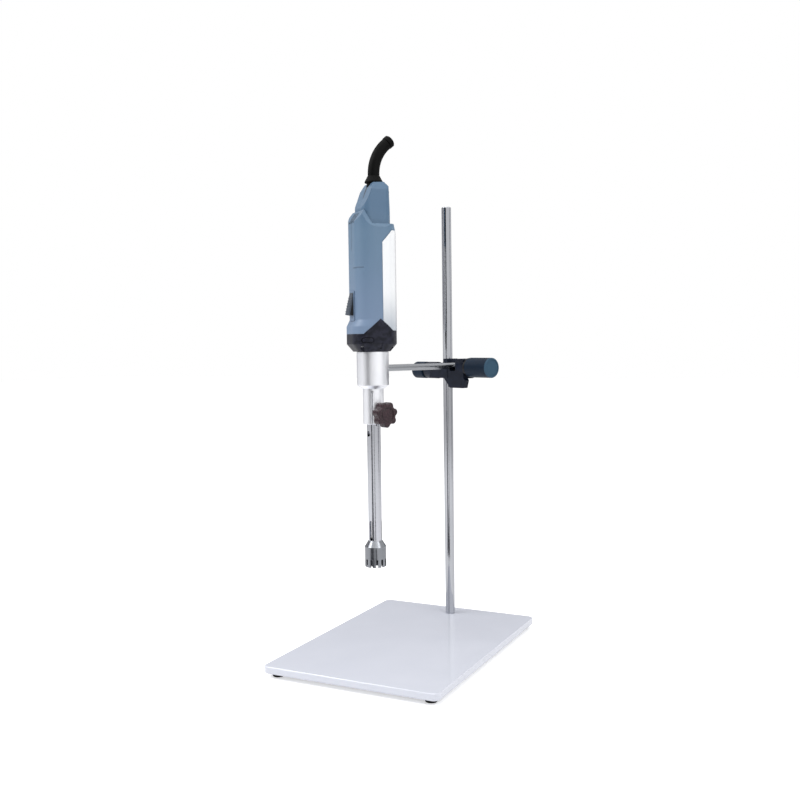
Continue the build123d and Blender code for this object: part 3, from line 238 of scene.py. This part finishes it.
flags_turn, flag_distance = 28.0, 1.5
strip_distance, strip_length, strip_share = 0.88, 1.2, 0.8
for name, turn, width, low, high, shade, has_strip in (
        ("left_flag", -38.0, 0.50, 0.0, 0.38, 0.09, True),
        ("left_top_flag", -42.0, 1.7, 0.38, 1.3, 0.01, False),
        ("front_flag", 3.0, 0.16, 0.0, 0.24, 0.03, True),
        ("right_flag", 86.0, 0.30, 0.0, 1.1, 0.20, False),
        ("rear_left_flag", -105.0, 1.1, 0.40, 1.2, 0.35, False),
        ("rear_flag", 180.0, 2.6, 0.0, 1.2, 0.28, False)):
    way = math.radians(flags_turn + turn)
    away, middle = Vector((math.sin(way), -math.cos(way), 0)), Vector((0, 0, (low + high) / 2))
    cloth = new_finish(name).surface(Base_Color=(shade, shade, 1.1 * shade), Roughness=0.9,
                                     Specular_IOR_Level=0.0)
    flags = [card(name, width, high - low, aimed(flag_distance * away + middle, middle, "Z"), cloth)]
    if has_strip:
        flat = Matrix.Translation(strip_distance * away) @ Matrix.Rotation(way, 4, "Z")
        flags.append(card(name + "_strip", strip_share * width, strip_length, flat, cloth))
    for flag in flags:
        flag.visible_camera = flag.visible_diffuse = flag.visible_shadow = False


# Base plate. A steel plate with white lacquer, smooth and glossy, with the faint
# orange peel of sprayed lacquer; its edges are broken and coated too.
def finish_nodes(material, *names):
    """Gives CAD nodes their finish."""
    for name in names:
        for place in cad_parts[name].material_slots:
            place.material = material


lacquer = new_finish("white_lacquer")
peel = lacquer.noise(0.0016, 2.0)
cloud = lacquer.noise(0.05, 2.0)
finish_nodes(lacquer.surface(
    Base_Color=lacquer.mix(cloud, (0.68, 0.705, 0.79), (0.73, 0.75, 0.83)),
    Roughness=0.16 + 0.08 * cloud, Coat_Weight=0.5, Coat_Roughness=0.04,
    Normal=lacquer.relief(peel, 0.000012, 0.0006)), "base_plate")

# Feet and strain relief. Soft black rubber mouldings with a matt skin that has
# picked up a little dust; the end of the lead shows the same black in the relief.
rubber = new_finish("black_rubber")
grain = rubber.noise(0.0007)
dust = rubber.noise(0.012, 4.0)
black_rubber = rubber.surface(
    Base_Color=rubber.mix(dust.rise(0.45, 0.75), (0.002, 0.002, 0.002), (0.005, 0.005, 0.005)),
    Roughness=0.45 + 0.2 * grain, Specular_IOR_Level=0.08, Normal=rubber.relief(grain, 0.00006, 0.0005))
finish_nodes(black_rubber, "rubber_feet", "strain_relief_boot", "boot_core")


# Relief skirt. A soft rubber ring pressed over the root of the strain relief, which
# closes the hole in the tail's top; its flank is hollow and its rim rounded. Its
# profile is given as distances from the axis and heights above the tail's top.
def new_piece(name, rows, material, smooth=False):
    """A piece skinned over rows of points, each row a closed ring that is joined to the next."""
    mesh = bmesh.new()
    rings = [[mesh.verts.new(point) for point in row] for row in rows]
    for one, two in zip(rings, rings[1:]):
        for k in range(len(one)):
            mesh.faces.new((one[k - 1], one[k], two[k], two[k - 1])).smooth = smooth
    bmesh.ops.remove_doubles(mesh, verts=mesh.verts, dist=1e-7)
    bmesh.ops.recalc_face_normals(mesh, faces=mesh.faces)
    data = bpy.data.meshes.new(name)
    mesh.to_mesh(data)
    mesh.free()
    data.materials.append(material)
    return put(name, data)


unit_place, unit_turn = Vector((-0.041768, -0.005448, 0.353)), 50.0
boot_offset, skirt_sides = 0.0045, 64
skirt_profile = [(0.00945, 0.0), (0.0102, 0.0), (0.0108, 0.0006), (0.0107, 0.0014), (0.0101, 0.0028),
                 (0.0091, 0.0044), (0.0081, 0.0064), (0.0075, 0.0078), (0.0071, 0.0080), (0.0070, 0.0064)]
skirt_seat = unit_place + Matrix.Rotation(math.radians(unit_turn), 3, "Z") @ Vector((boot_offset, 0, 0))
skirt_seat.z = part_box("tail_shell_near")[1][2]
skirt = new_piece("relief_skirt", [
    [skirt_seat + Vector((reach * math.cos(wind), reach * math.sin(wind), rise))
     for reach, rise in skirt_profile]
    for wind in (2 * math.pi * k / skirt_sides for k in range(skirt_sides + 1))], black_rubber, smooth=True)
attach(skirt, "unit")

# Column. Bright-drawn stainless rod, polished along its length, so its fine lines
# run with the rod and its reflections stay sharp. It stands in a socket of the
# plate, held from below by a bolt.
drawn_steel = new_finish("drawn_steel_upright")
lines = drawn_steel.noise(0.0005, 2.0, stretch=(1, 1, 100))
smear = drawn_steel.noise(0.02, 3.0, stretch=(1, 1, 4))
finish_nodes(drawn_steel.surface(
    Base_Color=drawn_steel.mix(smear, (0.40, 0.41, 0.44), (0.52, 0.53, 0.56)), Metallic=1.0,
    Roughness=0.05 + 0.06 * lines + 0.04 * smear,
    Normal=drawn_steel.relief(lines, 0.000001, 0.0004)), "column")

# Support arm. Ground steel rod with a duller nickel finish than the column's,
# shouldered where it enters the collar. It lies level, turned by the arm's turn.
arm_turn = -25.0
ground_steel = new_finish("ground_steel_arm")
lines = ground_steel.noise(0.0005, 2.0, turn=arm_turn, stretch=(1, 100, 1))
finish_nodes(ground_steel.surface(
    Base_Color=ground_steel.mix(lines, (0.27, 0.28, 0.30), (0.38, 0.39, 0.41)), Metallic=1.0,
    Roughness=0.20 + 0.08 * lines, Normal=ground_steel.relief(lines, 0.000006, 0.0003)), "support_arm")

# Cross clamp. A zinc casting with two hooks, tumbled smooth and coated with dark
# blue enamel that still shows the skin of the casting underneath.
enamel = new_finish("navy_enamel")
skin = enamel.noise(0.0022, 4.0)
worn = enamel.noise(0.009, 5.0)
finish_nodes(enamel.surface(
    Base_Color=enamel.mix(worn.rise(0.4, 0.7), (0.005, 0.008, 0.018), (0.009, 0.014, 0.030)),
    Roughness=0.26 + 0.14 * skin, Specular_IOR_Level=0.18,
    Normal=enamel.relief(skin, 0.00006, 0.0008)), "boss_head")


# Clamp knobs. Slate blue moulded grips with a fine eroded grain and the polish of
# handling, paler on the end face as a painted highlight where it meets the light; the
# arm's grip turns on a black skirt.
def level_rod(node):
    """Middle, half length and radius of a round node that lies level in the arm's direction."""
    low, high = (Vector(corner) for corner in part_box(node))
    radius = (high.z - low.z) / 2
    return (low + high) / 2, ((high.x - low.x) / 2 - radius * abs(arm_way.y)) / arm_way.x, radius


arm_way = Vector((math.cos(math.radians(arm_turn)), math.sin(math.radians(arm_turn)), 0))
lit_face_from, lit_face_full = -0.0013, -0.0009
grip = new_finish("slate_blue_grip")
knob_middle, knob_half = level_rod("arm_clamp_knob")[:2]
past_end = grip.axis(grip.place(knob_middle + arm_way * knob_half, arm_turn), "X")
# Painted highlight: the end face of the arm's knob is drawn in a paler blue.
painted_lit_face = past_end.rise(lit_face_from, lit_face_full)
grain = grip.noise(0.0005)
handled = grip.noise(0.012)
finish_nodes(grip.surface(
    Base_Color=grip.mix(painted_lit_face, grip.mix(handled, (0.005, 0.013, 0.028), (0.009, 0.022, 0.044)),
                        (0.042, 0.090, 0.140)),
    Roughness=0.40 + 0.12 * grain, Specular_IOR_Level=0.12, Normal=grip.relief(grain, 0.00003, 0.0006)),
    "arm_clamp_knob", "column_clamp_knob")

# Small steel parts. Screws, pads, bearing rings, the drive dog and the brushes'
# springs are steel, zinc plated in a barrel, which leaves them a little cloudy.
plated = new_finish("plated_steel")
cloud = plated.noise(0.003, 4.0)
plated_steel = plated.surface(
    Base_Color=plated.mix(cloud, (0.52, 0.53, 0.55), (0.68, 0.69, 0.70)), Metallic=1.0,
    Roughness=0.22 + 0.16 * cloud, Normal=plated.relief(cloud, 0.00002, 0.0002))
finish_nodes(plated_steel, "foot_screws", "column_bolt", "column_clamp_pad", "arm_clamp_pad",
             "collar_set_screws", "star_pad", "rotor_screw", "cap_screws", "tail_screws",
             "front_bearing", "rear_bearing", "drive_dog", "brush_springs")

# Hand screws. The three screws have rolled threads, bored at the tip for the stem
# of the pad, and are moulded into their knobs.
bore_depth, thread_sides, steps_a_turn, depth_share = 0.0035, 32, 6, 0.55


def hand_screw(node, body, towards, pitch, bore):
    """A threaded screw in the place of a node; towards is 1 or -1, from its tip to its knob."""
    middle, half, radius = level_rod(node)
    way, length, depth = arm_way * towards, 2 * half, depth_share * pitch
    start, side = middle - way * half, way.cross((0, 0, 1))
    steps = int(length / pitch * steps_a_turn)
    turns = [(bore_depth, 0.0, 0), (bore_depth, bore, 0), (0.0, bore, 0), (0.0, radius - depth, 0)]
    turns += [(length * (i + 0.5) / steps, radius, 1) for i in range(steps)]
    turns += [(length, radius - depth, 0), (length, 0.0, 0)]
    rows = []
    for along, reach, threaded in turns:
        row = []
        for k in range(thread_sides):
            wind = 2 * math.pi * k / thread_sides
            flank = abs(2 * ((along / pitch - k / thread_sides) % 1.0) - 1)
            cut = depth * min(max(1.5 * flank - 0.25, 0.0), 1.0) * threaded
            row.append(start + way * along + (reach - cut) * (
                math.cos(wind) * side + math.sin(wind) * Vector((0, 0, 1))))
        rows.append(row)
    screw = new_piece(node + "_threaded", rows, plated_steel)
    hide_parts(node)
    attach(screw, body)


hand_screw("arm_clamp_screw", "arm_knob", 1, 0.00125, 0.00155)
hand_screw("column_clamp_screw", "column_knob", -1, 0.00125, 0.00155)
hand_screw("star_screw", "star_knob", 1, 0.001, 0.00125)

# Collar, sleeve and bearing bracket. Turned aluminium with a satin, fine-pitched
# lathe finish round its axis.
satin = new_finish("satin_aluminium")
lathe = satin.noise(0.00022, 2.0, stretch=(50, 50, 1))
cloud = satin.noise(0.02)
finish_nodes(satin.surface(
    Base_Color=satin.mix(cloud, (0.88, 0.89, 0.93), (0.95, 0.96, 0.99)), Metallic=1.0,
    Roughness=0.32 + 0.08 * lathe + 0.04 * cloud, Normal=satin.relief(lathe, 0.000003, 0.0004)),
    "motor_collar", "tool_sleeve", "bearing_bracket")

# Star knob. Compression-moulded phenolic, a dark maroon with the mottle of its
# filler, polished on the lobes.
phenolic = new_finish("maroon_phenolic")
mottle = phenolic.noise(0.0016, 5.0)
finish_nodes(phenolic.surface(
    Base_Color=phenolic.mix(mottle.rise(0.35, 0.7), (0.020, 0.009, 0.013), (0.052, 0.023, 0.030)),
    Roughness=0.18 + 0.12 * mottle, Specular_IOR_Level=0.45,
    Normal=phenolic.relief(mottle, 0.00002, 0.0009)), "star_knob")

# Dispersing tool. Stainless tube, head, rotor and shaft, turned and polished, so
# their lines run round the axis, with the toothed ends milled and rougher, and darker
# as a painted darker reflection; the bush and bearing are white fluoropolymer. The
# motor's shaft has the tube's finish.
for name, dark, pale, rough, parts in (
        ("turned_steel", (0.47, 0.48, 0.52), (0.60, 0.61, 0.65), 0.12,
         ("stator_tube", "rotor_shaft", "motor_shaft")),
        # Head and rotor: a darker base colour than the tube's, a painted darker reflection.
        ("milled_steel_painted_dark", (0.20, 0.21, 0.23), (0.30, 0.31, 0.33), 0.18, ("stator_head", "rotor"))):
    lathe_steel = new_finish(name)
    lines = lathe_steel.noise(0.0003, 2.0, stretch=(50, 50, 1))
    finish_nodes(lathe_steel.surface(
        Base_Color=lathe_steel.mix(lines, dark, pale), Metallic=1.0, Roughness=rough + 0.08 * lines,
        Normal=lathe_steel.relief(lines, 0.000002, 0.0003)), *parts)
bush = new_finish("white_fluoropolymer")
cloud = bush.noise(0.002)
finish_nodes(bush.surface(Base_Color=(0.80, 0.80, 0.77), Roughness=0.42 + 0.1 * cloud,
                          Normal=bush.relief(cloud, 0.00001)), "lower_bush", "upper_bearing")

# Motor shells. Slate blue moulded plastic with a fine eroded grain, paler low down.
# The switch side has a parting line, a shallow moulded bar above the switch drawn a
# little darker as painted shade, painted shade in its four louvres, and a painted
# shadow under the strain relief in the shape of a notch. Heights count from the cap's foot.
louvre_places, louvre_half = (-0.0063, -0.0021, 0.0021, 0.0063), 0.0009
shell = new_finish("slate_blue_shell")
here = shell.place(unit_place, unit_turn)
side, front, height = (shell.axis(here, name) for name in "XYZ")
grain = shell.noise(0.0006)
cloud = shell.noise(0.03)
switch_side = side.rise(0.0, -0.001)
parting = abs(front).rise(0.0005, 0.0002) * switch_side * height.within(0.118, 0.150, 0.002)
bar = height.within(0.0966, 0.0976, 0.0005) * front.within(-0.021, -0.004, 0.0008) * switch_side
grooves = sum(front.within(y - louvre_half, y + louvre_half, 0.0002) for y in louvre_places)
louvre_shade = grooves * height.within(0.1488, 0.1602, 0.0002) * side.rise(-0.0158, -0.0162)
notch_shadow = (abs(front) - 0.12 * height).rise(-0.0202, -0.0206) * height.rise(0.177, 0.179) * switch_side
# Painted shade and shadow: the bar, the louvres' hollows and the notch under the strain relief are drawn
# dark; the parting line is a dark seam.
seams_and_painted_shade = 0.75 * parting + 0.35 * bar + 0.85 * louvre_shade + 0.9 * notch_shadow
blue = shell.mix(height.rise(0.02, 0.14), (0.182, 0.254, 0.380), (0.126, 0.208, 0.308))
blue = shell.mix(height.rise(0.135, 0.17), blue, (0.080, 0.152, 0.248))
blue = shell.mix(0.25 * cloud, blue, (0.150, 0.235, 0.340))
finish_nodes(shell.surface(
    Base_Color=shell.mix(seams_and_painted_shade, blue, (0.020, 0.030, 0.045)),
    Roughness=0.34 + 0.10 * grain, Specular_IOR_Level=0.4,
    Normal=shell.relief(0.06 * grain - parting + 0.6 * bar, 0.0005, 0.0016)),
    "motor_housing", "tail_shell_near", "tail_shell_back", "switch_frame")

# Front cap and bearing bridge. The same kind of moulding in charcoal, nearly black,
# with faint streaks, a slightly deeper grain and a duller sheen.
charcoal = new_finish("charcoal_shell")
grain = charcoal.noise(0.0006)
streak = charcoal.noise(0.006, 4.0)
finish_nodes(charcoal.surface(
    Base_Color=charcoal.mix(streak.rise(0.35, 0.7), (0.008, 0.009, 0.015), (0.022, 0.023, 0.038)),
    Roughness=0.26 + 0.14 * grain, Specular_IOR_Level=0.18,
    Normal=charcoal.relief(grain, 0.00004, 0.0012)), "front_cap", "bearing_bridge")

# Label panel. A bare white plate, let into the shell and bent round the side away
# from the switch, glossy, and greyer towards its lower end.
grey_below, white_above = 0.365, 0.43
panel = new_finish("white_panel")
height = panel.axis(panel.place(), "Z")
cloud = panel.noise(0.02, 2.0)
finish_nodes(panel.surface(
    Base_Color=panel.mix(height.rise(grey_below, white_above), (0.43, 0.48, 0.54), (0.94, 0.955, 0.97)),
    Roughness=0.20 + 0.06 * cloud, Coat_Weight=0.5, Coat_Roughness=0.05,
    Normal=panel.relief(cloud, 0.00001, 0.0004)), "label_panel")

# Switch and black mouldings. A dark ribbed thumb cap on a black slide. The switch's
# rod and contact box, the fan, the baffle, the brush holders and the skirt of the
# arm's knob are moulded from the same black plastic.
thumb = new_finish("grey_thumb_cap")
grain = thumb.noise(0.0006)
finish_nodes(thumb.surface(
    Base_Color=thumb.mix(grain, (0.045, 0.058, 0.080), (0.070, 0.088, 0.115)),
    Roughness=0.42 + 0.1 * grain, Specular_IOR_Level=0.35, Normal=thumb.relief(grain, 0.00004, 0.0003)),
    "switch_button")
black = new_finish("black_moulding")
grain = black.noise(0.0005)
finish_nodes(black.surface(
    Base_Color=black.mix(grain, (0.006, 0.006, 0.008), (0.012, 0.012, 0.015)),
    Roughness=0.40 + 0.16 * grain, Specular_IOR_Level=0.25, Normal=black.relief(grain, 0.00004, 0.0003)),
    "arm_knob_skirt", "switch_carrier", "switch_rod", "micro_switch", "cooling_fan",
    "air_baffle", "brush_holders")

# Motor inside. Field and armature of stacked sheet iron, windings of enamelled
# copper wire, a copper commutator, and pressed carbon brushes that run on it.
sheets = new_finish("laminated_iron")
layers = sheets.noise(0.0005, 1.0, stretch=(50, 50, 1))
finish_nodes(sheets.surface(
    Base_Color=sheets.mix(layers, (0.16, 0.16, 0.17), (0.30, 0.30, 0.31)), Metallic=1.0,
    Roughness=0.45 + 0.15 * layers, Normal=sheets.relief(layers, 0.00008)), "field_core", "armature_core")
copper = new_finish("enamelled_copper")
strands = copper.noise(0.0007, 2.0, stretch=(1, 1, 20))
finish_nodes(copper.surface(
    Base_Color=copper.mix(strands, (0.33, 0.10, 0.035), (0.62, 0.27, 0.12)), Metallic=1.0,
    Roughness=0.28 + 0.15 * strands, Normal=copper.relief(strands, 0.0002)),
    "field_coils", "armature_windings", "commutator")
carbon = new_finish("pressed_carbon")
grain = carbon.noise(0.0005, 4.0)
finish_nodes(carbon.surface(Base_Color=(0.035, 0.035, 0.037), Roughness=0.5 + 0.2 * grain,
                            Normal=carbon.relief(grain, 0.00005)), "carbon_brushes")


# Sizes. The box of the dressed part is found.
low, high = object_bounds()
